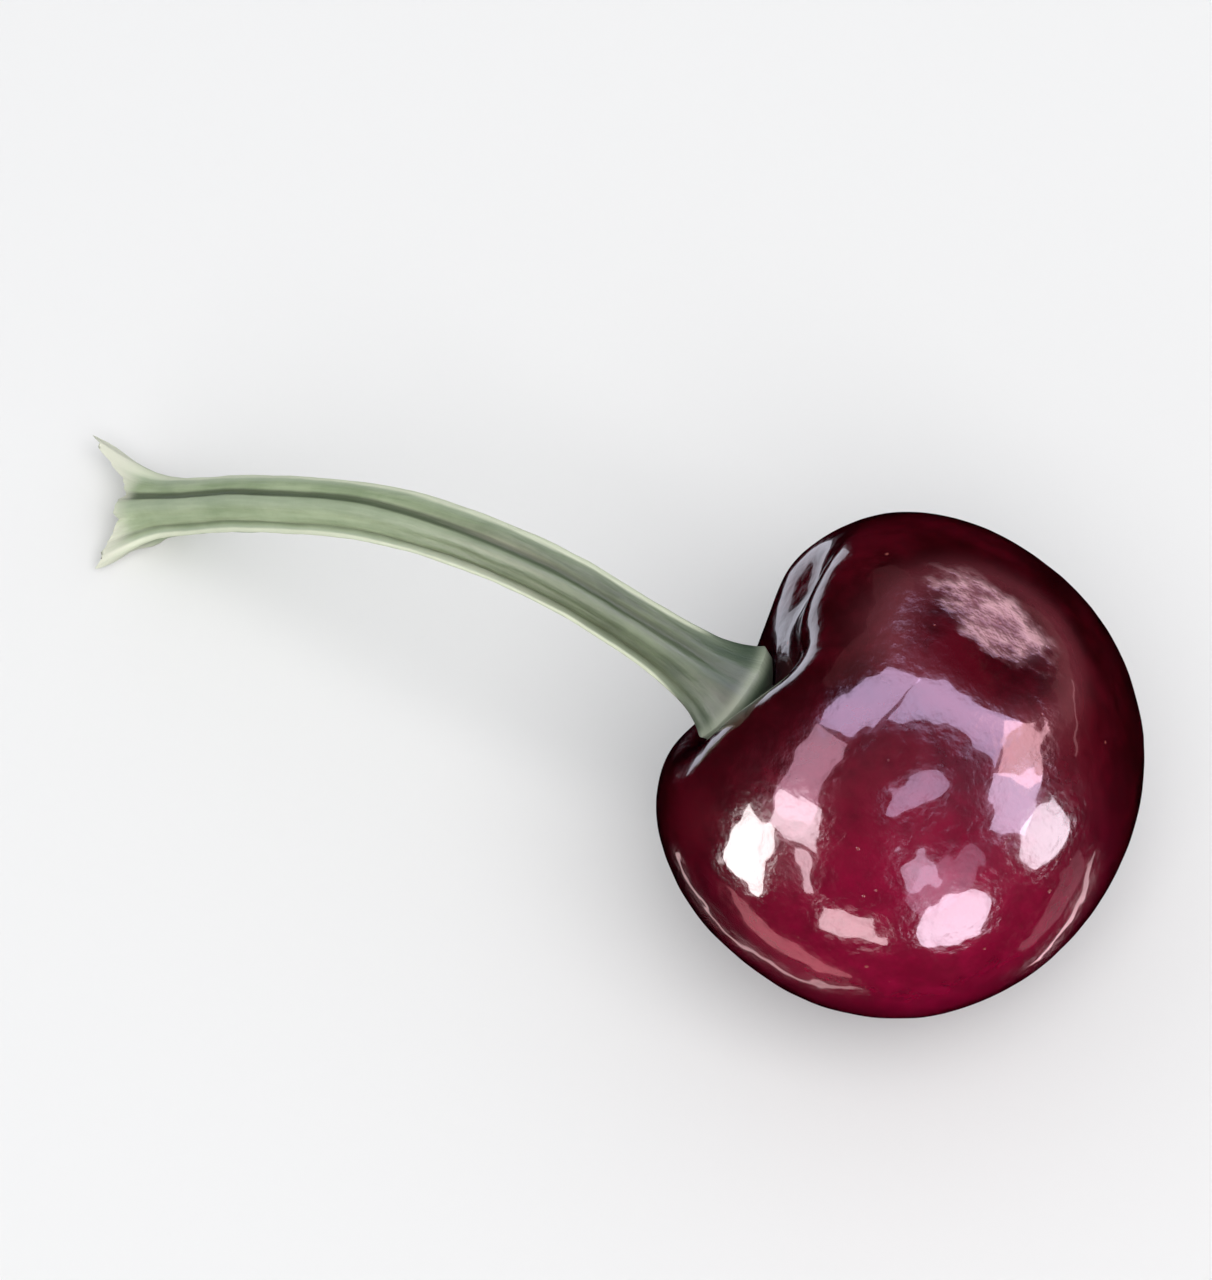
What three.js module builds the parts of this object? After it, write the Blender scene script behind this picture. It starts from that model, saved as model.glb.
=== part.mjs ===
// A sweet cherry on its stalk, lying on a surface. Units are millimetres and +Z is up.
// The fruit is shaped upright, with its own axis on Z, and leaned over by its group, so that
// it lies on its flatter side. The stalk is shaped straight, bent along its arch and placed
// as it lies: out of the cavity, away along -X and down until its free end touches the surface.

import * as THREE from "three";

// Fruit
const fruitWidth = 27; // across the two cheeks, along Y
const fruitThickness = 24.2; // across the suture side and its opposite, along the group's X
const tipDrop = 12.9; // from the widest ring down to the style end
const crownRise = 12.5; // from the widest ring up to the crown, before the cavity is sunk
const tipFullness = 2.08; // exponent of the lower half's outline, where 2 is an ellipse
const crownFullness = 2.2; // exponent of the upper half's outline

// Stalk cavity
const cavityDepth = 4.6;
const cavityRadius = 4; // distance from its centre at which a third of the depth is left
const cavityX = -0.8; // its centre lies a little off the axis
const cavityY = -1.6;
const upperNotch = 1.5; // how much lower the rim is between the cheeks, on the upper side
const underNotch = 2.9; // the same on the under side
const notchOffset = 1.5; // along Y
const notchWidth = 4.1; // half width, along Y
const notchReach = 3.2; // distance from the axis over which the notch deepens

// Soft dips that open the cavity's rim, and how far from the stalk's middle they fade in.
const rimDips = [
  { depth: 1.7, x: 3.2, y: -1.2, halfX: 3.4, halfY: 2.8 },
  { depth: 2.4, x: 0.8, y: 4.6, halfX: 2.9, halfY: 3.6 },
  { depth: 0.75, x: -4.5, y: 5, halfX: 3, halfY: 3 },
];
const dipClearance = 2.6;

// Marks on the skin
const dentDepth = 0.6;
const dentBreadth = 3.6; // half breadth, round the fruit
const dentLength = 4.2; // half length, along the axis
const dentAngle = 25; // degrees from the top of the lying fruit towards +Y, which it is pressed along
const dentSide = -1.1; // how far its middle lies to the side of that direction
const dentHeight = 2; // above the widest ring
const styleScarDepth = 0.3;
const styleScarRadius = 1.3;

// Stalk
const stalkReach = 38.3; // horizontal distance from the cavity to the free end
const shaftRadius = 1.42;
const discRadius = 2.9; // the swelling that sits in the cavity
const discClearance = 0.5; // how much further the disc's edge stands off the cavity than its middle
const discEdge = 0.45; // thickness of the disc's edge
const discFlareLength = 1.9; // length over which the disc narrows into the shaft
const endRadius = 2.7; // the torn swelling at the free end
const endFlareLength = 1.5;
const endHollow = 0.5; // how deep the free end's face is dished
const stalkX = -0.8; // where the disc's middle sits in the cavity
const stalkY = -1.8;
const stalkTurn = 1.3; // degrees that the arch is turned towards +Y
const ridgeShare = 0.05; // height of the shaft's three ridges, as a share of its radius
const seatGap = 0.3; // between the stalk and the floor of the cavity

// Pose
const axisRise = 26.5; // degrees of the fruit's axis above the surface
const endFall = 50; // degrees of the stalk's slope where it comes down
const startHandle = 15; // how firmly the stalk keeps its direction at the fruit
const endHandle = 27.5; // and at its free end
const restPress = 0.28; // how far the soft fruit is pressed flat where it rests

// Fineness
const fruitSegments = 60;
const fruitRings = 42;
const stalkSegments = 20;
const stalkRings = 46;

const skinMaterial = new THREE.MeshStandardMaterial({ color: 0x5c0a24, roughness: 0.2, metalness: 0 });
const stalkMaterial = new THREE.MeshStandardMaterial({ color: 0x86a07c, roughness: 0.6, metalness: 0 });

const radians = THREE.MathUtils.degToRad;
const smoothstep = THREE.MathUtils.smoothstep;

// Moves every vertex of a geometry by a rule of its place alone, so that seams stay closed.
function reshape(geometry, rule) {
  const positions = geometry.attributes.position;
  const point = new THREE.Vector3();
  for (let i = 0; i < positions.count; i += 1) {
    point.fromBufferAttribute(positions, i);
    rule(point);
    positions.setXYZ(i, point.x, point.y, point.z);
  }
  geometry.computeVertexNormals();
}

// A lathe turns its profile round Y; this stands the result on Z.
function turnedSolid(profile, segments) {
  const geometry = new THREE.LatheGeometry(profile, segments);
  geometry.rotateX(Math.PI / 2);
  return geometry;
}

// A round body of radius 1 across, with the two halves' own heights and fullness.
function fruitProfile() {
  const profile = [];
  for (let i = 0; i <= fruitRings; i += 1) {
    const angle = (Math.PI * i) / fruitRings;
    const upper = angle > Math.PI / 2;
    const power = 2 / (upper ? crownFullness : tipFullness);
    const height = upper ? crownRise : tipDrop;
    const across = i % fruitRings === 0 ? 0 : Math.sin(angle) ** power;
    const along = -Math.sign(Math.cos(angle)) * Math.abs(Math.cos(angle)) ** power;
    profile.push(new THREE.Vector2(across, along * height));
  }
  return profile;
}

function rimSink(x, y) {
  const fromSeat = Math.hypot(x - stalkX, y - stalkY) / dipClearance;
  let sink = 0;
  for (const dip of rimDips) {
    const distance = Math.hypot((x - dip.x) / dip.halfX, (y - dip.y) / dip.halfY);
    sink += dip.depth * Math.exp(-distance * distance);
  }
  return sink * (1 - Math.exp(-fromSeat * fromSeat));
}

// How far the crown is sunk at a place seen along the axis.
function cavitySink(x, y) {
  const fromCavity = Math.hypot(x - cavityX, y - cavityY) / cavityRadius;
  const fromNotch = (y - notchOffset) / notchWidth;
  const deepest = x > 0 ? upperNotch : underNotch;
  const notch = (deepest * x * x) / (x * x + notchReach * notchReach);
  const basin = cavityDepth * Math.exp(-fromCavity * fromCavity);
  return basin + notch * Math.exp(-fromNotch * fromNotch) + rimSink(x, y);
}

function crownHeight(x, y) {
  const across = Math.hypot((2 * x) / fruitThickness, (2 * y) / fruitWidth);
  const dome = crownRise * (1 - across ** crownFullness) ** (1 / crownFullness);
  return dome - cavitySink(x, y);
}

function shapeFruit(point) {
  point.x *= fruitThickness / 2;
  point.y *= fruitWidth / 2;
  const crownShare = smoothstep(point.z, 0, 0.75 * crownRise);
  point.z -= cavitySink(point.x, point.y) * crownShare;
}

// A shallow oval dent on the upper side, pressed straight in towards the axis.
function pressDent(point) {
  const around = Math.atan2(point.y, point.x) - radians(dentAngle);
  const sideways = Math.sin(around) * Math.hypot(point.x, point.y) - dentSide;
  const across = sideways / dentBreadth;
  const along = (point.z - dentHeight) / dentLength;
  if (Math.cos(around) < 0) {
    return;
  }
  const press = dentDepth * Math.exp(-2 * (across * across + along * along));
  point.x -= press * Math.cos(radians(dentAngle));
  point.y -= press * Math.sin(radians(dentAngle));
}

function pressStyleScar(point) {
  const distance = Math.hypot(point.x, point.y) / styleScarRadius;
  if (point.z < 0) {
    point.z += styleScarDepth * Math.exp(-distance * distance);
  }
}

// The direction straight down to the surface, seen from the leaned fruit.
const down = new THREE.Vector3(-Math.cos(radians(axisRise)), 0, -Math.sin(radians(axisRise)));

// How far the flat it rests on lies from the fruit's middle, once the skin is pressed.
function restDistance(geometry) {
  const positions = geometry.attributes.position;
  const point = new THREE.Vector3();
  let lowest = 0;
  for (let i = 0; i < positions.count; i += 1) {
    lowest = Math.max(lowest, point.fromBufferAttribute(positions, i).dot(down));
  }
  return lowest - restPress;
}

function makeFruit() {
  const geometry = turnedSolid(fruitProfile(), fruitSegments);
  reshape(geometry, shapeFruit);
  reshape(geometry, pressDent);
  reshape(geometry, pressStyleScar);
  const reach = restDistance(geometry);
  reshape(geometry, (point) => {
    const excess = point.dot(down) - reach;
    if (excess > 0) {
      point.addScaledVector(down, -excess);
    }
  });
  const fruit = new THREE.Mesh(geometry, skinMaterial);
  fruit.name = "fruit";
  return { fruit, reach };
}

// A direction that points away from the fruit, rising or falling by an angle in degrees.
function outward(rise) {
  const level = Math.cos(radians(rise));
  const turn = radians(stalkTurn);
  return new THREE.Vector3(-level * Math.cos(turn), level * Math.sin(turn), Math.sin(radians(rise)));
}

// The stalk's middle line: out of the cavity along the fruit's axis, over, and down to the
// surface, all in one upright plane.
function stalkLine(reach) {
  const start = new THREE.Vector3(stalkX, stalkY, crownHeight(stalkX, stalkY) + seatGap);
  start.applyEuler(leanRotation());
  start.z += reach;
  const end = start.clone().addScaledVector(outward(0), stalkReach);
  end.z = endRadius * Math.cos(radians(endFall));
  const leaving = start.clone().addScaledVector(outward(axisRise), startHandle);
  const landing = end.clone().addScaledVector(outward(-endFall), -endHandle);
  return new THREE.CubicBezierCurve3(start, leaving, landing, end);
}

function leanRotation() {
  return new THREE.Euler(0, radians(axisRise - 90), 0);
}

// The most that the cavity's floor rises from the stalk's middle to a distance from it.
function cavityRise(distance) {
  const directions = 16;
  let highest = -Infinity;
  for (let i = 0; i < directions; i += 1) {
    const angle = (2 * Math.PI * i) / directions;
    const x = stalkX + distance * Math.cos(angle);
    const y = stalkY + distance * Math.sin(angle);
    highest = Math.max(highest, crownHeight(x, y));
  }
  return highest - crownHeight(stalkX, stalkY);
}

// A point of the disc's under side, which follows the floor and stands off it towards its edge.
function discPoint(share) {
  const radius = share * discRadius;
  return new THREE.Vector2(radius, cavityRise(radius) + discClearance * share * share);
}

function stalkRadius(along, length) {
  const fromDisc = Math.max(along - discPoint(1).y - discEdge, 0);
  const discFlare = (discRadius - shaftRadius) * Math.exp(-fromDisc / discFlareLength);
  const endFlare = (endRadius - shaftRadius) * Math.exp((along - length) / endFlareLength);
  return shaftRadius + discFlare + endFlare;
}

// From the disc's under side, round its edge, up the shaft and over the free end's dished face.
function stalkProfile(length) {
  const profile = [0, 0.3, 0.55, 0.8, 1].map(discPoint);
  const shaftStart = discPoint(1).y + discEdge;
  for (let i = 0; i <= stalkRings; i += 1) {
    const share = 0.5 - 0.5 * Math.cos((Math.PI * i) / stalkRings);
    const along = THREE.MathUtils.lerp(shaftStart, length, share);
    profile.push(new THREE.Vector2(stalkRadius(along, length), along));
  }
  profile.push(new THREE.Vector2(0.55 * endRadius, length - 0.6 * endHollow));
  profile.push(new THREE.Vector2(0, length - endHollow));
  return profile;
}

// Bends a straight stalk along its line: Z becomes the way along, and X points upwards.
function bendAlong(line, length) {
  const side = new THREE.Vector3(0, 0, 1).cross(outward(0)).negate();
  return (point) => {
    const share = THREE.MathUtils.clamp(point.z / length, 0, 1);
    const centre = line.getPointAt(share);
    const tangent = line.getTangentAt(share);
    const upward = new THREE.Vector3().crossVectors(side, tangent);
    const { x, y } = point;
    point.copy(centre).addScaledVector(upward, x).addScaledVector(side, y);
  };
}

function addRidges(length) {
  return (point) => {
    const around = Math.atan2(point.y, point.x);
    const away = smoothstep(point.z, 0, 6) * smoothstep(length - point.z, 0, 4);
    const swell = 1 + ridgeShare * away * Math.cos(3 * around);
    point.x *= swell;
    point.y *= swell;
  };
}

function makeStalk(reach) {
  const line = stalkLine(reach);
  line.arcLengthDivisions = 400;
  const length = line.getLength();
  const geometry = turnedSolid(stalkProfile(length), stalkSegments);
  reshape(geometry, addRidges(length));
  reshape(geometry, bendAlong(line, length));
  const stalk = new THREE.Mesh(geometry, stalkMaterial);
  stalk.name = "stalk";
  return stalk;
}

const { fruit, reach } = makeFruit();
const leaned = new THREE.Group();
leaned.rotation.copy(leanRotation());
leaned.position.z = reach;
leaned.add(fruit);

const cherry = new THREE.Group();
cherry.add(leaned, makeStalk(reach));

// The origin is on the surface, under the middle of the whole cherry.
cherry.updateMatrixWorld(true);
const middle = new THREE.Box3().setFromObject(cherry, true).getCenter(new THREE.Vector3());
cherry.position.set(-middle.x, -middle.y, 0);
cherry.updateMatrixWorld(true);

export default cherry;
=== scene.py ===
import math

import bpy
from mathutils import Matrix, Vector


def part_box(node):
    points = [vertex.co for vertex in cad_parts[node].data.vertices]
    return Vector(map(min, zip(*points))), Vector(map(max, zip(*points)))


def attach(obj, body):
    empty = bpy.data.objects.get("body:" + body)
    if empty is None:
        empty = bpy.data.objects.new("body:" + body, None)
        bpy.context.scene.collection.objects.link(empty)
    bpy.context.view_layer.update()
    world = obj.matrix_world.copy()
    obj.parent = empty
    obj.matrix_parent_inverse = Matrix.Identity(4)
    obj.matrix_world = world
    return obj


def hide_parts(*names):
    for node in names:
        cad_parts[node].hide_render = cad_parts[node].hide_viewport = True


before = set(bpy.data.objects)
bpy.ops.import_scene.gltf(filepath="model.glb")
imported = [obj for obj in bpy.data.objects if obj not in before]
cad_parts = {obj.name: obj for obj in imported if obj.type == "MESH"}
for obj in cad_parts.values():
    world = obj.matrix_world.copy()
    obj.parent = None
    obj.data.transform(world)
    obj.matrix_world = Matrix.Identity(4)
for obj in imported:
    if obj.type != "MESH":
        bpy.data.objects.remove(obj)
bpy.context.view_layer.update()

millimetre = 0.001


class Wire:  # one output of a node, so that sums on lengths and masks read as plain arithmetic
    def __init__(self, socket):
        self.socket = socket
        self.tree = socket.id_data

    def maths(self, operation, *others):
        return addNode(self.tree, "ShaderNodeMath", {"operation": operation}, [self, *others])

    def reflected(self, operation, other):
        return addNode(self.tree, "ShaderNodeMath", {"operation": operation}, [other, self])

    def __add__(self, other):
        return self.maths("ADD", other)

    __radd__ = __add__

    def __sub__(self, other):
        return self.maths("SUBTRACT", other)

    def __rsub__(self, other):
        return self.reflected("SUBTRACT", other)

    def __mul__(self, other):
        return self.maths("MULTIPLY", other)

    __rmul__ = __mul__

    def __truediv__(self, other):
        return self.maths("DIVIDE", other)

    def __rtruediv__(self, other):
        return self.reflected("DIVIDE", other)

    def __neg__(self):
        return self.maths("MULTIPLY", -1.0)


def addNode(tree, kind, settings=None, inputs=(), output=0):
    node = tree.nodes.new(kind)
    for name, value in (settings or {}).items():
        setattr(node, name, value)
    pairs = inputs.items() if isinstance(inputs, dict) else enumerate(inputs)
    for key, value in pairs:
        if isinstance(value, Wire):
            tree.links.new(value.socket, node.inputs[key])
        else:
            node.inputs[key].default_value = value
    return Wire(node.outputs[output])


def otherOutput(wire, output):
    return Wire(wire.socket.node.outputs[output])


def splitVector(wire):
    x = addNode(wire.tree, "ShaderNodeSeparateXYZ", None, [wire])
    return x, otherOutput(x, 1), otherOutput(x, 2)


def joinVector(tree, x, y, z):
    return addNode(tree, "ShaderNodeCombineXYZ", None, [x, y, z])


def vectorMaths(tree, operation, *operands):
    return addNode(tree, "ShaderNodeVectorMath", {"operation": operation}, operands)


def stretched(place, *factors):
    return vectorMaths(place.tree, "MULTIPLY", place, factors)


def moved(start, direction, amount):  # start + direction * amount
    return vectorMaths(start.tree, "MULTIPLY_ADD", direction, amount, start)


def inMetres(place):
    return addNode(place.tree, "ShaderNodeVectorMath", {"operation": "SCALE"},
                   {"Vector": place, "Scale": millimetre})


def eased(value, low, high):  # 0 below low, 1 above high, a smooth step between them
    settings = {"interpolation_type": "SMOOTHSTEP", "clamp": True}
    return addNode(value.tree, "ShaderNodeMapRange", settings,
                   {"Value": value, "From Min": low, "From Max": high})


def hill(distance):  # 1 in the middle, falling away like a bell
    return (-(distance * distance)).maths("EXPONENT")


def apart(across, along):  # the distance that two differences at right angles give
    return (across * across + along * along).maths("SQRT")


def noise(place, scale, detail=2.0, roughness=0.5, distortion=0.0):
    return addNode(place.tree, "ShaderNodeTexNoise", None,
                   {"Vector": place, "Scale": scale, "Detail": detail,
                    "Roughness": roughness, "Distortion": distortion})


def mixColour(factor, first, second):  # a Mix node's colours are its inputs 6 and 7
    tree = next(each for each in (factor, first, second) if isinstance(each, Wire)).tree
    values = {0: factor}
    for index, colour in ((6, first), (7, second)):
        values[index] = colour if isinstance(colour, Wire) else (*colour, 1.0)
    return addNode(tree, "ShaderNodeMix", {"data_type": "RGBA"}, values, 2)


def degrees(angle):
    return math.radians(angle)


def startTree(name, sizes):
    tree = bpy.data.node_groups.new(name, "GeometryNodeTree")
    tree.is_modifier = True
    tree.interface.new_socket("Geometry", in_out="OUTPUT", socket_type="NodeSocketGeometry")
    for label, value in sizes.items():
        kind = "NodeSocketInt" if isinstance(value, int) else "NodeSocketFloat"
        tree.interface.new_socket(label, in_out="INPUT", socket_type=kind)
    tree.interface.new_socket("finish", in_out="INPUT", socket_type="NodeSocketMaterial")
    entry = tree.nodes.new("NodeGroupInput")
    return tree, {label: Wire(entry.outputs[label]) for label in [*sizes, "finish"]}


def placePoints(tree, shape, position):
    return addNode(tree, "GeometryNodeSetPosition", None,
                   {"Geometry": shape, "Position": position})


def keep(tree, shape, name, value, kind="FLOAT"):
    return addNode(tree, "GeometryNodeStoreNamedAttribute",
                   {"data_type": kind, "domain": "POINT"},
                   {"Geometry": shape, "Name": name, "Value": value})


def endTree(tree, shape, finish):
    whole = addNode(tree, "GeometryNodeRealizeInstances", None, [shape])
    smooth = addNode(tree, "GeometryNodeSetShadeSmooth", None,
                     {"Geometry": whole, "Shade Smooth": True})
    covered = addNode(tree, "GeometryNodeSetMaterial", None,
                      {"Geometry": smooth, "Material": finish})
    leaving = tree.nodes.new("NodeGroupOutput")
    tree.links.new(covered.socket, leaving.inputs["Geometry"])


def grow(name, tree, sizes, finish):  # runs a shape tree and keeps its result as a plain mesh
    piece = bpy.data.objects.new(name, bpy.data.meshes.new(name))
    bpy.context.scene.collection.objects.link(piece)
    modifier = piece.modifiers.new("grow", "NODES")
    modifier.node_group = tree
    values = {**sizes, "finish": finish}
    for item in tree.interface.items_tree:
        if item.in_out == "INPUT":
            modifier[item.identifier] = values[item.name]
    graph = bpy.context.evaluated_depsgraph_get()
    mesh = bpy.data.meshes.new_from_object(
        piece.evaluated_get(graph), preserve_all_data_layers=True, depsgraph=graph)
    piece.modifiers.clear()
    piece.data = mesh
    mesh.name = name
    print(name, "has", len(mesh.vertices), "points and", len(mesh.polygons), "faces")
    return piece


def startMaterial(name):
    material = bpy.data.materials.new(name)
    material.use_nodes = True
    material.node_tree.nodes.clear()
    return material, material.node_tree


def savedMask(tree, name, output="Fac"):
    return addNode(tree, "ShaderNodeAttribute", {"attribute_name": name}, (), output)


def raised(tree, height):  # a bump whose height is given in millimetres
    return addNode(tree, "ShaderNodeBump", None,
                   {"Strength": 1.0, "Distance": millimetre, "Height": height})


def coverWith(tree, inputs):
    shader = addNode(tree, "ShaderNodeBsdfPrincipled", None, inputs)
    leaving = tree.nodes.new("ShaderNodeOutputMaterial")
    tree.links.new(shader.socket, leaving.inputs["Surface"])


# Lengths are in millimetres and angles in degrees, measured in the upright fruit: its axis is Z,
# its cheeks lie along Y, and X points at the side that faces up once the fruit lies down.
fruitSizes = {
    "segments": 320,
    "rings": 210,
    "fruitWidth": 27.0,
    "fruitThickness": 24.2,
    "tipDrop": 12.9,
    "crownRise": 12.5,
    "tipFullness": 2.08,
    "crownFullness": 2.2,
    "crownBlend": 0.75,  # share of the crown's rise over which the cavity's shape fades in
    "cavityDepth": 4.6,
    "cavityRadius": 4.0,
    "cavityX": -0.8,
    "cavityY": -1.6,
    "upperNotch": 1.5,
    "underNotch": 2.9,
    "notchOffset": 1.5,
    "notchWidth": 4.1,
    "notchReach": 3.2,
    "rimDip": 1.7,  # three places where the cavity's rim is let down
    "rimDipX": 3.2,
    "rimDipY": -1.2,
    "rimDipHalfX": 3.4,
    "rimDipHalfY": 2.8,
    "sideDip": 2.4,
    "sideDipX": 0.8,
    "sideDipY": 4.6,
    "sideDipHalfX": 2.9,
    "sideDipHalfY": 3.6,
    "farDip": 0.75,
    "farDipX": -4.5,
    "farDipY": 5.0,
    "farDipHalf": 3.0,
    "dipClearance": 2.6,  # keeps the dips away from the stalk's seat
    "dentDepth": 0.6,
    "dentLength": 3.6,
    "dentBreadth": 4.2,
    "dentAngle": 25.0,
    "dentSide": -1.1,
    "dentHeight": 2.0,
    "swellHeight": 0.06,
    "swellPlace": 1.25,  # where the skin swells round the dent, in dent widths
    "swellSpread": 0.4,
    # the bruise's pale patch, partly a matte scuff and partly painted reflection
    "bruiseSheenSide": 0.6,
    "bruiseSheenHeight": 2.4,
    "bruiseSheenSlant": 0.16,
    "bruiseSheenHalfWidth": 2.0,
    "bruiseSheenHalfLength": 3.7,
    # where the painted reflection ring round the dent lies
    "ringSheenPlace": 1.2,
    "ringSheenSpread": 0.28,
    "styleScarDepth": 0.3,
    "styleScarRadius": 1.3,
    "sutureDepth": 0.12,
    "sutureHalfWidth": 0.45,
    "sutureSway": 1.2,
    "waveHeight": 0.16,
    "waveLength": 5.0,
    "rippleHeight": 0.07,
    "rippleLength": 1.5,
    "calmRadius": 3.4,  # no waves where the stalk sits
    "axisRise": 26.5,
    "restReach": 12.1057,  # from the middle down to the patch on which the fruit rests
}

# The stalk leaves the fruit along its axis and bends down to the surface.
stalkRoute = {
    "seatX": -0.8,
    "seatY": -1.8,
    "seatGap": 0.12,
    "stalkReach": 38.3,
    "stalkTurn": 1.3,
    "endFall": 50.0,
    "endHeight": 1.22,
    "startHandle": 15.0,
    "endHandle": 27.5,
}


def cavitySink(x, y):  # how far the crown is sunk at a place seen along the axis
    size = fruitSizes
    fromCavity = math.hypot(x - size["cavityX"], y - size["cavityY"]) / size["cavityRadius"]
    fromNotch = (y - size["notchOffset"]) / size["notchWidth"]
    deepest = size["upperNotch"] if x > 0 else size["underNotch"]
    notch = deepest * x * x / (x * x + size["notchReach"] ** 2)
    return size["cavityDepth"] * math.exp(-fromCavity ** 2) + notch * math.exp(-fromNotch ** 2)


def crownHeight(x, y):
    size = fruitSizes
    across = math.hypot(2 * x / size["fruitThickness"], 2 * y / size["fruitWidth"])
    power = size["crownFullness"]
    return size["crownRise"] * (1 - across ** power) ** (1 / power) - cavitySink(x, y)


def fruitTree():
    tree, size = startTree("cherryFruit", fruitSizes)
    ball = addNode(tree, "GeometryNodeMeshUVSphere", None,
                   {"Segments": size["segments"], "Rings": size["rings"], "Radius": 1.0})

    # two half outlines with their own heights and fullness
    x, y, z = splitVector(addNode(tree, "GeometryNodeInputPosition"))
    sine = apart(x, y).maths("MAXIMUM", 0.0001)
    isUpper = z.maths("GREATER_THAN", 0.0)
    fullness = size["tipFullness"] + (size["crownFullness"] - size["tipFullness"]) * isUpper
    power = 2.0 / fullness
    height = size["tipDrop"] + (size["crownRise"] - size["tipDrop"]) * isUpper
    spread = sine.maths("POWER", power) / sine
    rise = z.maths("SIGN") * z.maths("ABSOLUTE").maths("POWER", power) * height
    outline = joinVector(tree, x * spread * size["fruitThickness"] * 0.5,
                         y * spread * size["fruitWidth"] * 0.5, rise)
    shape = placePoints(tree, ball, outline)

    # the stalk cavity, the notches beside it and the dips of its rim
    cavityR = apart(x - size["cavityX"], y - size["cavityY"])
    basin = size["cavityDepth"] * hill(cavityR / size["cavityRadius"])
    isTop = x.maths("GREATER_THAN", 0.0)
    deepest = size["underNotch"] + (size["upperNotch"] - size["underNotch"]) * isTop
    notch = deepest * x * x / (x * x + size["notchReach"] * size["notchReach"])
    notch = notch * hill((y - size["notchOffset"]) / size["notchWidth"])
    crownShare = eased(z, 0.0, size["crownRise"] * size["crownBlend"])
    fromSeat = apart(x - stalkRoute["seatX"], y - stalkRoute["seatY"])
    offSeat = 1.0 - hill(fromSeat / size["dipClearance"])
    fromRim = apart((x - size["rimDipX"]) / size["rimDipHalfX"],
                    (y - size["rimDipY"]) / size["rimDipHalfY"])
    fromSide = apart((x - size["sideDipX"]) / size["sideDipHalfX"],
                     (y - size["sideDipY"]) / size["sideDipHalfY"])
    fromFar = apart((x - size["farDipX"]) / size["farDipHalf"],
                    (y - size["farDipY"]) / size["farDipHalf"])
    dips = (size["rimDip"] * hill(fromRim) + size["sideDip"] * hill(fromSide)
            + size["farDip"] * hill(fromFar))
    sunk = joinVector(tree, x, y, z - (basin + notch + dips * offSeat) * crownShare)
    shape = placePoints(tree, shape, sunk)
    shape = keep(tree, shape, "cavity", hill(cavityR / size["cavityRadius"]) * crownShare)

    # the dent, with the skin lifted a little in a ring round it, and the bruise in it; the bruise's
    # pale pink is partly a matte scuff and partly painted reflection, and a painted reflection ring
    # lies round the dent
    angle = size["dentAngle"] * (math.pi / 180)
    toDentX, toDentY = angle.maths("COSINE"), angle.maths("SINE")
    outwards = x * toDentX + y * toDentY
    sideways = y * toDentX - x * toDentY
    fromDent = apart((sideways - size["dentSide"]) / size["dentLength"],
                     (z - size["dentHeight"]) / size["dentBreadth"])
    faces = outwards.maths("GREATER_THAN", 0.0)
    hollow = hill(fromDent * math.sqrt(2)) * faces
    swell = hill((fromDent - size["swellPlace"]) / size["swellSpread"]) * faces
    press = size["dentDepth"] * hollow - size["swellHeight"] * swell
    upBruiseSheen = z - size["bruiseSheenHeight"]
    acrossBruiseSheen = sideways - size["bruiseSheenSide"] - upBruiseSheen * size["bruiseSheenSlant"]
    fromBruiseSheen = apart(acrossBruiseSheen / size["bruiseSheenHalfWidth"],
                       upBruiseSheen / size["bruiseSheenHalfLength"])
    shape = keep(tree, shape, "bruiseAndSheen", hill(fromBruiseSheen) * faces)
    fromRing = (fromDent - size["ringSheenPlace"]) / size["ringSheenSpread"]
    dented = joinVector(tree, x - press * toDentX, y - press * toDentY, z)
    shape = keep(tree, shape, "ringSheen", hill(fromRing) * faces)
    shape = placePoints(tree, shape, dented)

    # the style's scar at the tip, and the faint seam line on the under side
    isTip = z.maths("LESS_THAN", 0.0)
    scar = hill(apart(x, y) / size["styleScarRadius"]) * isTip
    scarred = joinVector(tree, x, y, z + size["styleScarDepth"] * scar)
    shape = keep(tree, shape, "scar", scar)
    shape = placePoints(tree, shape, scarred)
    seamWander = noise(joinVector(tree, 0.0, 0.0, z), 0.16, 1.0) - 0.5
    fromSeam = (y - seamWander * size["sutureSway"]) / size["sutureHalfWidth"]
    seam = hill(fromSeam) * x.maths("LESS_THAN", 0.0)
    seamed = joinVector(tree, x + seam * size["sutureDepth"], y, z)
    shape = keep(tree, shape, "seam", seam)
    shape = placePoints(tree, shape, seamed)

    # slow waves and finer ripples of the skin
    place = addNode(tree, "GeometryNodeInputPosition")
    wave = noise(place, 1.0 / size["waveLength"], 1.0) - 0.5
    ripple = noise(place, 1.0 / size["rippleLength"], 1.0) - 0.5
    calm = 1.0 - hill(cavityR / size["calmRadius"]) * crownShare
    lift = (wave * size["waveHeight"] + ripple * size["rippleHeight"]) * calm
    normal = addNode(tree, "GeometryNodeInputNormal")
    shape = keep(tree, shape, "grown", place, "FLOAT_VECTOR")
    shape = placePoints(tree, shape, moved(place, normal, lift))

    # leaned over and pressed flat where it rests
    lean = (size["axisRise"] - 90.0) * (math.pi / 180)
    leanCos, leanSin = lean.maths("COSINE"), lean.maths("SINE")
    level = x * leanCos + z * leanSin
    upright = z * leanCos - x * leanSin
    rested = joinVector(tree, level, y, upright.maths("MAXIMUM", -size["restReach"]))
    shape = placePoints(tree, shape, inMetres(rested))
    endTree(tree, shape, size["finish"])
    return tree


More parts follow.
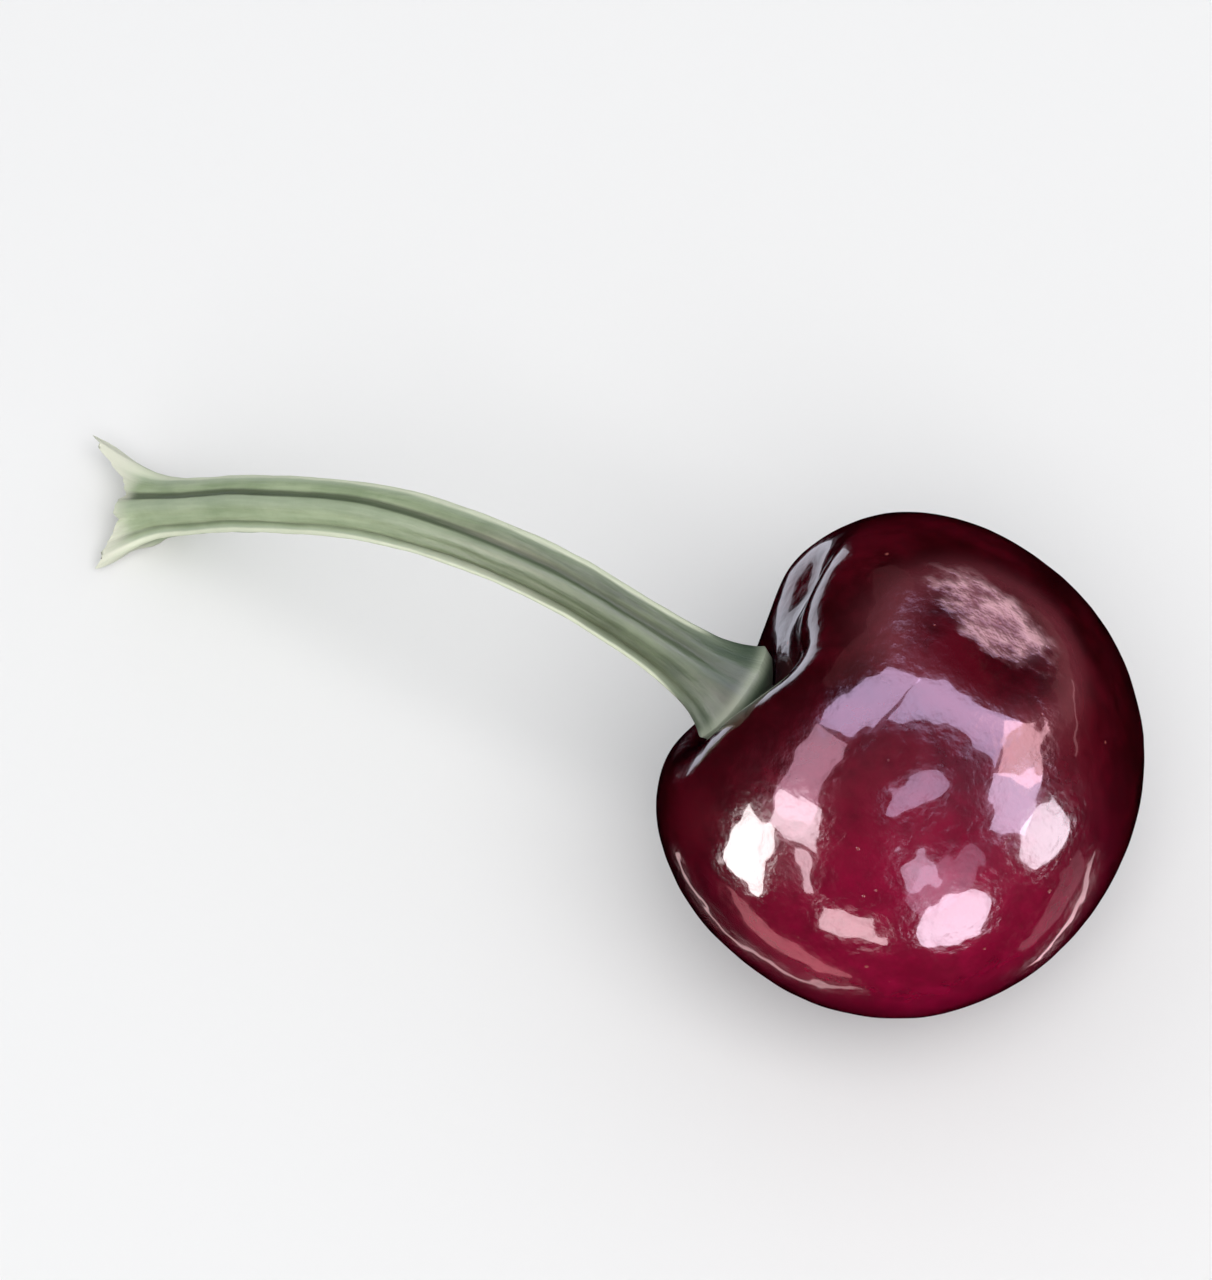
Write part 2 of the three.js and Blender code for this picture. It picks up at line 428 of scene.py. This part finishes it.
skinColours = {
    # painted shade: the red deepens away from the lit blush, partly the skin's own tone and partly
    # painted shade
    "litBlushAt": (5.0, -9.0, -4.0),  # the reddest place, in millimetres in the upright fruit
    "litBlushStart": 1.0,
    "litBlushEnd": 15.0,
    "litBlushDark": (0.18, 0.0006, 0.02),
    "litBlushPale": (0.34, 0.0012, 0.042),
    "shadedRipeDark": (0.027, 0.0002, 0.0017),
    "shadedRipePale": (0.095, 0.0008, 0.0075),
    # painted shade: the near-black red laid into the stalk cavity
    "cavity": (0.02, 0.0006, 0.004),
    "pore": (0.42, 0.12, 0.1),
    "scar": (0.16, 0.07, 0.035),
    "seam": (0.045, 0.0005, 0.008),
    # painted reflection: a lighter brownish ring round the dent
    "ringSheen": (0.26, 0.05, 0.07),
    # the bruise's pale pinks: partly a matte scuff's own colour, partly painted reflection
    "bruiseSheenDark": (0.3, 0.1, 0.13),
    "bruiseSheenPale": (0.68, 0.37, 0.41),
}


def skinFinish():
    material, tree = startMaterial("cherrySkin")
    shade = skinColours
    grown = savedMask(tree, "grown", "Vector")
    mask = {name: savedMask(tree, name)
            for name in ("bruiseAndSheen", "ringSheen", "cavity", "scar", "seam")}

    # clouds of lighter and darker red, reddest at the lit blush; the deeper red away from it is
    # partly the skin's own tone and partly painted shade
    cloud = noise(grown, 0.16, 3.0, 0.55)
    fleck = noise(grown, 1.1, 4.0, 0.6)
    lightness = eased(cloud * 0.7 + fleck * 0.3, 0.36, 0.66)
    fromLitBlush = addNode(tree, "ShaderNodeVectorMath", {"operation": "DISTANCE"},
                        [grown, shade["litBlushAt"]], "Value")
    ripeAndShaded = eased(fromLitBlush + (cloud - 0.5) * 7.0, shade["litBlushStart"], shade["litBlushEnd"])
    colour = mixColour(lightness,
                       mixColour(ripeAndShaded, shade["litBlushDark"], shade["shadedRipeDark"]),
                       mixColour(ripeAndShaded, shade["litBlushPale"], shade["shadedRipePale"]))
    # painted shade: the stalk cavity is darkened to near-black red
    colour = mixColour(mask["cavity"] * 0.9, colour, shade["cavity"])

    pores = addNode(tree, "ShaderNodeTexVoronoi", {"feature": "F1"},
                    {"Vector": grown, "Scale": 0.62, "Randomness": 1.0})
    poreSize = noise(grown, 0.9, 1.0) * 0.1
    pore = 1.0 - eased(pores, poreSize * 0.6, poreSize * 1.5)
    colour = mixColour(pore * 0.55, colour, shade["pore"])
    colour = mixColour(mask["scar"] * mask["scar"] * 0.8, colour, shade["scar"])
    colour = mixColour(mask["seam"] * 0.5, colour, shade["seam"])

    strokes = eased(noise(stretched(grown, 1.0, 1.0, 0.6), 1.1, 3.0, 0.55), 0.3, 0.7)
    # the bruise's pale pink patch is partly a matte, wrinkled scuff and partly painted reflection
    paleBruiseAndSheen = eased(mask["bruiseAndSheen"] + (strokes - 0.5) * 0.2, 0.25, 0.8) * (0.55 + strokes * 0.45)
    # painted reflection: a lighter brownish ring laid round the dent
    colour = mixColour(mask["ringSheen"] * 0.35, colour, shade["ringSheen"])
    bruiseSheenColour = mixColour(strokes, shade["bruiseSheenDark"], shade["bruiseSheenPale"])
    colour = mixColour(paleBruiseAndSheen * 0.9, colour, bruiseSheenColour)

    smear = noise(grown, 0.35, 3.0, 0.6)
    roughness = 0.14 + smear * 0.12 + paleBruiseAndSheen * 0.3 + mask["scar"] * 0.4

    peel = noise(grown, 1.9, 2.0, 0.45)
    grain = noise(grown, 7.0, 2.0, 0.5)
    wrinkle = noise(grown, 1.7, 3.0, 0.6, 0.6) * (paleBruiseAndSheen * 0.6 + mask["cavity"] * 0.8)
    height = peel * 0.036 + grain * 0.003 + wrinkle * 0.12 + strokes * paleBruiseAndSheen * 0.14 - pore * 0.02
    coverWith(tree, {
        "Base Color": colour, "Roughness": roughness, "IOR": 1.45, "Normal": raised(tree, height),
        "Coat Weight": 1.0, "Coat Roughness": 0.045, "Coat IOR": 1.6})
    return material


stalkSizes = {
    "columns": 120,
    "baseRows": 14,
    "shaftRows": 420,
    "endRows": 16,
    "shaftRadius": 1.42,
    "discRadius": 2.9,
    "discRise": 1.6,
    "discEdge": 0.35,
    "discFlareLength": 1.9,
    "endRadius": 2.15,
    "endFlareLength": 1.2,
    "endHollow": 0.8,
    "upperLip": 3.6,
    "upperLipPlace": 58.0,
    "upperLipNarrowness": 9.0,
    "lowerLip": 2.2,
    "lowerLipPlace": -104.0,
    "lowerLipNarrowness": 12.0,
    "tornDepth": 1.9,
    "ridgeHeight": 0.2,
    "grooveDepth": 0.24,
    "unevenness": 0.22,
    "lineWander": 0.5,
}

# Lines that run the length of the stalk: the place round it in degrees from its upper side, how
# narrow the line is, and how much of the full height or depth it has.
stalkRidges = [(46.0, 12.0, 1.0), (-100.0, 45.0, 1.2), (155.0, 16.0, 0.8),
               (-155.0, 20.0, 0.7), (-28.0, 14.0, 0.55)]
stalkGrooves = [(-6.0, 48.0, 1.0), (-52.0, 70.0, 0.35), (-82.0, 90.0, 0.6),
                (84.0, 60.0, 0.7), (118.0, 40.0, 0.6), (-128.0, 50.0, 0.8)]


def outward(rise):  # away from the fruit, rising by an angle in degrees
    level, turn = math.cos(degrees(rise)), degrees(stalkRoute["stalkTurn"])
    return Vector((-level * math.cos(turn), level * math.sin(turn), math.sin(degrees(rise))))


def routeStalk(fruitMiddle):  # the arch out of the cavity and down to the surface
    route = stalkRoute
    seat = Vector((route["seatX"], route["seatY"],
                   crownHeight(route["seatX"], route["seatY"]) + route["seatGap"]))
    lean = Matrix.Rotation(degrees(fruitSizes["axisRise"] - 90), 3, "Y")
    start = lean @ seat + fruitMiddle
    end = start + outward(0) * route["stalkReach"]
    end.z = route["endHeight"]
    leaving = start + outward(fruitSizes["axisRise"]) * route["startHandle"]
    landing = end - outward(-route["endFall"]) * route["endHandle"]
    for name, point in (("start", start), ("leaving", leaving), ("landing", landing), ("end", end)):
        for axis, value in zip("XYZ", point):
            stalkSizes[name + axis] = value


def lineAt(around, place, narrowness):  # 1 on a line along the stalk, less on both sides of it
    return (((around - place).maths("COSINE") - 1.0) * narrowness).maths("EXPONENT")


def linesAt(around, lines):
    return sum(lineAt(around, degrees(place), narrowness) * share
               for place, narrowness, share in lines)


def stalkTree():
    tree, size = startTree("cherryStalk", stalkSizes)
    corners = [joinVector(tree, size[name + "X"], size[name + "Y"], size[name + "Z"])
               for name in ("start", "leaving", "landing", "end")]
    line = addNode(tree, "GeometryNodeCurvePrimitiveBezierSegment", {"mode": "POSITION"},
                   {"Resolution": 300, "Start": corners[0], "Start Handle": corners[1],
                    "End Handle": corners[2], "End": corners[3]})
    length = addNode(tree, "GeometryNodeCurveLength", None, [line])

    # a flat grid gives each point its place round the stalk and its row along it
    rowCount = size["baseRows"] + size["shaftRows"] + size["endRows"]
    grid = addNode(tree, "GeometryNodeMeshGrid", None,
                   {"Size X": 1.0, "Size Y": 1.0, "Vertices X": size["columns"] + 1,
                    "Vertices Y": rowCount + 1})
    gridX, gridY, _ = splitVector(addNode(tree, "GeometryNodeInputPosition"))
    around = (gridX + 0.5) * math.tau
    row = (gridY + 0.5) * rowCount
    baseShare = (row / size["baseRows"]).maths("MINIMUM", 1.0)
    endShare = ((rowCount - row) / size["endRows"]).maths("MINIMUM", 1.0)
    shaftShare = ((row - size["baseRows"]) / size["shaftRows"]).maths("MAXIMUM", 0.0)
    shaftShare = shaftShare.maths("MINIMUM", 1.0)
    shaftShare = 0.5 - (shaftShare * math.pi).maths("COSINE") * 0.5
    isShaft = row.maths("GREATER_THAN", size["baseRows"] - 0.5)

    shaftStart = size["discRise"] + size["discEdge"]
    alongShaft = shaftStart + (length - shaftStart) * shaftShare
    alongBase = size["discRise"] * baseShare * baseShare
    along = alongBase + (alongShaft - alongBase) * isShaft
    toEnd = length - along

    # the two swellings, the free end's opened like a torn trumpet
    discFlare = (-(along - shaftStart).maths("MAXIMUM", 0.0) / size["discFlareLength"])
    discFlare = discFlare.maths("EXPONENT") * (size["discRadius"] - size["shaftRadius"])
    sidewards = around.maths("SINE")
    endFlare = (-toEnd / size["endFlareLength"]).maths("EXPONENT")
    endFlare = endFlare * (size["endRadius"] - size["shaftRadius"])
    endFlare = endFlare * (0.4 + sidewards * sidewards * 0.8)
    radius = size["shaftRadius"] + discFlare + endFlare

    # ridges and grooves that run the length of the shaft and wander a little
    wander = noise(joinVector(tree, along, 0.0, 0.0), 0.09, 1.0) - 0.5
    turned = around + wander * size["lineWander"]
    shaftOnly = eased(along, 0.8, 7.0)
    ridges, grooves = linesAt(turned, stalkRidges), linesAt(turned, stalkGrooves)
    strength = 0.35 + shaftOnly * 0.65
    relief = (ridges * size["ridgeHeight"] - grooves * size["grooveDepth"]) * strength
    onSkin = joinVector(tree, around.maths("COSINE") * 1.4, sidewards * 1.4, along * 0.25)
    uneven = (noise(onSkin, 1.3, 3.0) - 0.5) * size["unevenness"]
    radius = (radius + relief + uneven) * (baseShare * endShare)

    # the free end's lips run on past its face
    lipNoise = noise(joinVector(tree, around.maths("COSINE"), sidewards, 3.0), 3.4, 4.0)
    nearEnd = (-toEnd).maths("EXPONENT") * eased(endShare, 0.5, 1.0)
    ragged = 0.55 + lipNoise * 0.9
    toUpper = size["upperLipPlace"] * (math.pi / 180)
    toLower = size["lowerLipPlace"] * (math.pi / 180)
    upperLip = lineAt(around, toUpper, size["upperLipNarrowness"])
    upperLip = upperLip * size["upperLip"] * nearEnd * ragged
    lowerLip = lineAt(around, toLower, size["lowerLipNarrowness"])
    lowerLip = lowerLip * size["lowerLip"] * nearEnd * ragged
    tornEdge = (lipNoise - 0.5) * size["tornDepth"] * nearEnd
    ahead = (upperLip * 0.64 + lowerLip * 0.45 + tornEdge
             - size["endHollow"] * (1.0 - endShare * endShare))

    # the points go out from the arch, and the lips curl away from it
    middle = addNode(tree, "GeometryNodeSampleCurve", {"mode": "LENGTH", "data_type": "FLOAT"},
                     {"Curves": line, "Length": along}, "Position")
    tangent = otherOutput(middle, "Tangent")
    turn = degrees(stalkRoute["stalkTurn"])
    side = joinVector(tree, math.sin(turn), math.cos(turn), 0.0)
    upward = vectorMaths(tree, "CROSS_PRODUCT", side, tangent)
    point = moved(middle, upward, around.maths("COSINE") * radius)
    point = moved(point, side, sidewards * radius)
    point = moved(point, tangent, ahead)
    point = moved(point, upward, upperLip * 0.77 + lowerLip * 0.35)
    point = moved(point, side, lowerLip * -0.75 + upperLip * 0.1)

    shape = keep(tree, grid, "along", along)
    shape = keep(tree, shape, "onSkin", onSkin, "FLOAT_VECTOR")
    shape = keep(tree, shape, "toEnd", toEnd - ahead)
    shape = keep(tree, shape, "ridgeGleam", ridges * shaftOnly)
    shape = keep(tree, shape, "grooveShade", grooves * strength)
    shape = keep(tree, shape, "cutFace", 1.0 - endShare)
    shape = keep(tree, shape, "discEdge", hill((along - shaftStart) / 0.35))
    shape = placePoints(tree, shape, point)
    x, y, z = splitVector(addNode(tree, "GeometryNodeInputPosition"))
    lifted = joinVector(tree, x, y, z.maths("MAXIMUM", 0.0))
    shape = placePoints(tree, shape, inMetres(lifted))
    shape = addNode(tree, "GeometryNodeMergeByDistance", None,
                    {"Geometry": shape, "Distance": 0.000002})
    endTree(tree, shape, size["finish"])
    return tree


stalkColours = {
    "nearShade": (0.068, 0.108, 0.044),
    "nearLight": (0.135, 0.19, 0.088),
    "farShade": (0.28, 0.375, 0.2),
    "farLight": (0.42, 0.52, 0.31),
    # painted shade: darker blue-green where the stalk sits in the cavity
    "discShade": (0.045, 0.088, 0.06),
    # painted highlight: the lighter band and the pale lines along the ridges
    "ridgeGleamBand": (0.46, 0.54, 0.4),
    "ridgeGleam": (0.74, 0.8, 0.6),
    # painted shade: the dark green laid in the stalk's grooves
    "grooveShade": (0.06, 0.095, 0.04),
    "torn": (0.72, 0.74, 0.6),
    "cutFace": (0.36, 0.34, 0.19),
    "discEdge": (0.6, 0.68, 0.5),
}


def stalkFinish():
    material, tree = startMaterial("greenStalk")
    shade = stalkColours
    mask = {name: savedMask(tree, name)
            for name in ("along", "toEnd", "ridgeGleam", "grooveShade", "cutFace", "discEdge")}
    onSkin = savedMask(tree, "onSkin", "Vector")
    place = addNode(tree, "ShaderNodeTexCoord", None, (), "Object")
    place = addNode(tree, "ShaderNodeMapping", {"vector_type": "POINT"},
                    {"Vector": place, "Scale": (1000.0, 1000.0, 1000.0)})

    # long streaks, darker near the fruit and paler towards the free end
    streak = noise(stretched(onSkin, 1.0, 1.0, 0.3), 2.2, 3.0, 0.55)
    blotch = noise(place, 0.5, 3.0, 0.6)
    tone = eased(streak * 0.65 + blotch * 0.35, 0.34, 0.66)
    paler = eased(mask["along"], 9.0, 30.0)
    colour = mixColour(tone, mixColour(paler, shade["nearShade"], shade["farShade"]),
                       mixColour(paler, shade["nearLight"], shade["farLight"]))
    # painted shade: the stalk is darkened near the disc, where it sits in the cavity
    nearDiscShadow = 1.0 - eased(mask["along"] + (blotch - 0.5) * 4.0, 2.0, 8.5)
    colour = mixColour(nearDiscShadow * 0.6, colour, shade["discShade"])

    # painted highlight: a lighter band and pale lines laid along the ridges
    ridgeGleamBand = eased(mask["ridgeGleam"], 0.15, 0.75) * (0.3 + paler * 0.3)
    colour = mixColour(ridgeGleamBand, colour, shade["ridgeGleamBand"])
    ridgeGleam = eased(mask["ridgeGleam"] + (streak - 0.5) * 0.35, 0.6, 0.92)
    colour = mixColour(ridgeGleam * 0.95, colour, shade["ridgeGleam"])
    # painted shade: the grooves are darkened where shade falls in them
    grooveShade = eased(mask["grooveShade"] + (streak - 0.5) * 0.2, 0.3, 0.8)
    colour = mixColour(grooveShade * 0.85, colour, shade["grooveShade"])

    nearTear = 1.0 - eased(mask["toEnd"] + (streak - 0.5) * 1.5, -0.6, 1.3)
    colour = mixColour(nearTear * 0.85, colour, shade["torn"])
    colour = mixColour(eased(mask["cutFace"], 0.1, 0.4) * 0.8, colour, shade["cutFace"])
    colour = mixColour(mask["discEdge"] * 0.5, colour, shade["discEdge"])

    roughness = 0.42 + blotch * 0.25 + nearTear * 0.2
    grain = noise(stretched(onSkin, 1.0, 1.0, 0.5), 9.0, 3.0, 0.6)
    height = streak * 0.09 + grain * 0.035 + noise(place, 4.0, 2.0) * 0.02
    coverWith(tree, {
        "Base Color": colour, "Roughness": roughness, "IOR": 1.45, "Normal": raised(tree, height),
        "Coat Weight": 0.15, "Coat Roughness": 0.3})
    return material


fruit = grow("cherryFruit", fruitTree(), fruitSizes, skinFinish())
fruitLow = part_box("fruit")[0]
ownLow = Vector([min(v.co[i] for v in fruit.data.vertices) for i in range(3)])
fruit.data.transform(Matrix.Translation(fruitLow - ownLow))
routeStalk((fruitLow - ownLow) / millimetre)
stalk = grow("cherryStalk", stalkTree(), stalkSizes, stalkFinish())

for piece, node, slot in ((fruit, "fruit", "skin"), (stalk, "stalk", "stalk")):
    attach(piece, "root")
    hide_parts(node)
print("pieces ride on the frame")


def towards(azimuth, elevation):
    level = math.cos(degrees(elevation))
    return Vector((math.sin(degrees(azimuth)) * level, -math.cos(degrees(azimuth)) * level,
                   math.sin(degrees(elevation))))


cameraSetup = {
    "azimuth": 27.5,
    "elevation": 65.0,
    "distance": 0.5,
    "lens": 262.0,
    "aim": (0.0, 0.0, 0.0105),
}
cameraData = bpy.data.cameras.new("studioCamera")
cameraData.lens = cameraSetup["lens"]
cameraData.clip_start = 0.01
camera = bpy.data.objects.new("studioCamera", cameraData)
bpy.context.scene.collection.objects.link(camera)
aim = Vector(cameraSetup["aim"])
spot = aim + towards(cameraSetup["azimuth"], cameraSetup["elevation"]) * cameraSetup["distance"]
cameraTurn = (aim - spot).to_track_quat("-Z", "Y").to_matrix().to_4x4()
camera.matrix_world = Matrix.Translation(spot) @ cameraTurn
bpy.context.scene.camera = camera

# Where each softbox stands from the fruit's middle, in metres, which way its long side runs, its
# size and how bright it is. The big one lights the colours and the others only shine in the gloss.
lightMiddle = Vector((0.0175, 0.0, 0.012))
softboxes = {
    "overhead": {"at": (0.3, -0.3, 0.9), "along": (1, 0, 0), "wide": 0.9, "tall": 0.9,
                 "colour": (1.0, 0.98, 0.96), "radiance": 2.0, "lights": "diffuse"},
    "backSky": {"at": (0.42, 0.45, 1.0), "along": (1, 0.22, 0), "wide": 1.1, "tall": 0.6,
                "colour": (0.8, 0.63, 1.0), "radiance": 4.0},
    "crownSky": {"at": (-0.33, 0.22, 1.0), "along": (0, 1, 0), "wide": 0.76, "tall": 0.46,
                 "colour": (0.85, 0.63, 1.0), "radiance": 4.0},
    "leftSky": {"at": (-0.52, -0.72, 1.0), "along": (0.3, 0.95, 0), "wide": 1.12, "tall": 0.62,
                "colour": (1.0, 0.56, 0.76), "radiance": 2.9},
    "crownHaze": {"at": (-0.7, 0.75, 0.7), "along": (0.7, 0.7, 0), "wide": 0.5, "tall": 0.7,
                  "colour": (1.0, 0.35, 0.38), "shape": "ELLIPSE", "radiance": 0.12},
    "backHaze": {"at": (0.55, 0.87, 0.25), "along": (0.87, -0.5, 0), "wide": 0.7, "tall": 0.3,
                 "colour": (1.0, 0.5, 0.5), "shape": "ELLIPSE", "radiance": 0.16},
    "rightPeach": {"at": (1.0, 0.5, 0.68), "along": (0, 0.9, 0.45), "wide": 0.6, "tall": 0.4,
                   "colour": (1.0, 0.56, 0.63), "radiance": 5.0},
    "rightLilac": {"at": (1.0, 0.05, 0.47), "along": (0, 0.8, 0.6), "wide": 0.45, "tall": 0.45,
                   "colour": (0.9, 0.7, 1.0), "radiance": 5.2},
    "rightWhite": {"at": (1.0, 0.07, 0.03), "along": (0, 1, 0), "wide": 0.36, "tall": 0.46,
                   "colour": (1.0, 0.86, 0.98), "shape": "ELLIPSE", "radiance": 5.5},
    "leftWhite": {"at": (-0.63, -1.0, 0.0), "along": (-0.2, 0, 1), "wide": 0.7, "tall": 0.44,
                  "colour": (1.0, 0.93, 0.93), "radiance": 10.0},
    "leftPink": {"at": (-0.4, -1.0, 0.6), "along": (1, 0, 0.15), "wide": 0.62, "tall": 0.4,
                 "colour": (1.0, 0.8, 0.88), "radiance": 6.8},
    "leftGleam": {"at": (-0.09, -1.0, 0.2), "along": (0.5, 0, -1), "wide": 0.36, "tall": 0.09,
                  "colour": (1.0, 0.72, 0.8), "radiance": 6.0},
    "smallLilac": {"at": (0.49, -0.35, 0.8), "along": (0.57, 0.82, 0), "wide": 0.5, "tall": 0.22,
                   "colour": (0.9, 0.65, 1.0), "shape": "ELLIPSE", "radiance": 2.4},
    "frontLilac": {"at": (0.8, -0.6, -0.08), "along": (0.6, 0.8, 0), "wide": 0.54, "tall": 0.48,
                   "colour": (1.0, 0.82, 1.0), "shape": "ELLIPSE", "radiance": 5.6},
    "frontHaze": {"at": (0.72, -0.57, 0.24), "along": (0.5, 0.6, 0.5), "wide": 0.6, "tall": 0.36,
                  "colour": (1.0, 0.65, 0.95), "shape": "ELLIPSE", "radiance": 1.0},
    "frontGlint": {"at": (0.62, -0.69, 0.39), "along": (0.3, 0.1, 0.9), "wide": 0.34, "tall": 0.22,
                   "colour": (0.95, 0.74, 1.0), "shape": "ELLIPSE", "radiance": 2.6},
    "frontPink": {"at": (0.26, -0.96, -0.14), "along": (0.96, 0.26, 0), "wide": 0.32,
                  "tall": 0.24, "colour": (1.0, 0.74, 0.8), "radiance": 5.5},
    "lowSheen": {"at": (-0.17, -0.7, -0.6), "along": (0.94, 0.07, -0.35), "wide": 0.75,
                 "tall": 0.2, "colour": (1.0, 0.36, 0.41), "shape": "ELLIPSE", "radiance": 1.1},
    "rightSheen": {"at": (0.82, 0.03, -0.57), "along": (0.275, 0.3, 0.4), "wide": 0.6,
                   "tall": 0.24, "colour": (1.0, 0.5, 0.6), "shape": "ELLIPSE", "radiance": 0.35},
    "thinLine": {"at": (0.7, 0.64, 0.1), "along": (0.39, -0.41, -0.12), "wide": 0.5,
                 "tall": 0.03, "colour": (1.0, 0.5, 0.55), "radiance": 1.2},
    "leftLine": {"at": (-0.23, -0.38, -0.9), "along": (0.86, -0.51, 0), "wide": 0.9,
                 "tall": 0.05, "colour": (1.0, 0.7, 0.72), "radiance": 1.5},
    "rightLine": {"at": (0.6, 0.19, -0.77), "along": (0.75, 0.2, 0.6), "wide": 0.7, "tall": 0.05,
                  "colour": (1.0, 0.7, 0.75), "radiance": 2.2},
    "farSky": {"at": (-0.84, 0.36, -0.42), "along": (0.4, 0.9, 0), "wide": 0.5, "tall": 0.4,
               "colour": (0.85, 0.87, 1.0), "radiance": 1.2},
}


def addSoftbox(name, plan):
    light = bpy.data.lights.new(name, "AREA")
    light.shape = plan.get("shape", "RECTANGLE")
    light.size, light.size_y = plan["wide"], plan["tall"]
    light.color = plan["colour"]
    light.energy = 4 * plan["wide"] * plan["tall"] * plan["radiance"]
    light.cycles.max_bounces = 4
    box = bpy.data.objects.new(name, light)
    bpy.context.scene.collection.objects.link(box)
    away = Vector(plan["at"])
    back = away.normalized()
    wide = Vector(plan["along"])
    wide = (wide - back * wide.dot(back)).normalized()
    turn = Matrix((wide, back.cross(wide), back)).transposed().to_4x4()
    box.matrix_world = Matrix.Translation(lightMiddle + away) @ turn
    box.visible_camera = False
    box.visible_diffuse = plan.get("lights") == "diffuse"
    box.visible_glossy = not box.visible_diffuse


for name, plan in softboxes.items():
    addSoftbox(name, plan)

studioSetup = {
    "floorHalf": 3.0,
    "floorColour": (0.88, 0.88, 0.88, 1),
    "roomColour": (0.95, 0.97, 1.0, 1),
    "roomStrength": 0.62,
}
half = studioSetup["floorHalf"]
floorMesh = bpy.data.meshes.new("studioFloor")
floorMesh.from_pydata([(-half, -half, 0), (half, -half, 0), (half, half, 0), (-half, half, 0)],
                      [], [(0, 1, 2, 3)])
studioFloor = bpy.data.objects.new("studioFloor", floorMesh)
bpy.context.scene.collection.objects.link(studioFloor)
studioFloor.visible_glossy = False
paper = bpy.data.materials.new("palePaper")
paper.use_nodes = True
paperShader = paper.node_tree.nodes["Principled BSDF"]
paperShader.inputs["Base Color"].default_value = studioSetup["floorColour"]
paperShader.inputs["Roughness"].default_value = 0.9
paperShader.inputs["Specular IOR Level"].default_value = 0.0
floorMesh.materials.append(paper)

room = bpy.data.worlds.new("paleRoom")
room.use_nodes = True
room.node_tree.nodes["Background"].inputs["Color"].default_value = studioSetup["roomColour"]
room.node_tree.nodes["Background"].inputs["Strength"].default_value = studioSetup["roomStrength"]
room.cycles_visibility.glossy = False
bpy.context.scene.world = room
bpy.context.scene.view_settings.view_transform = "Standard"
print("studio is set")
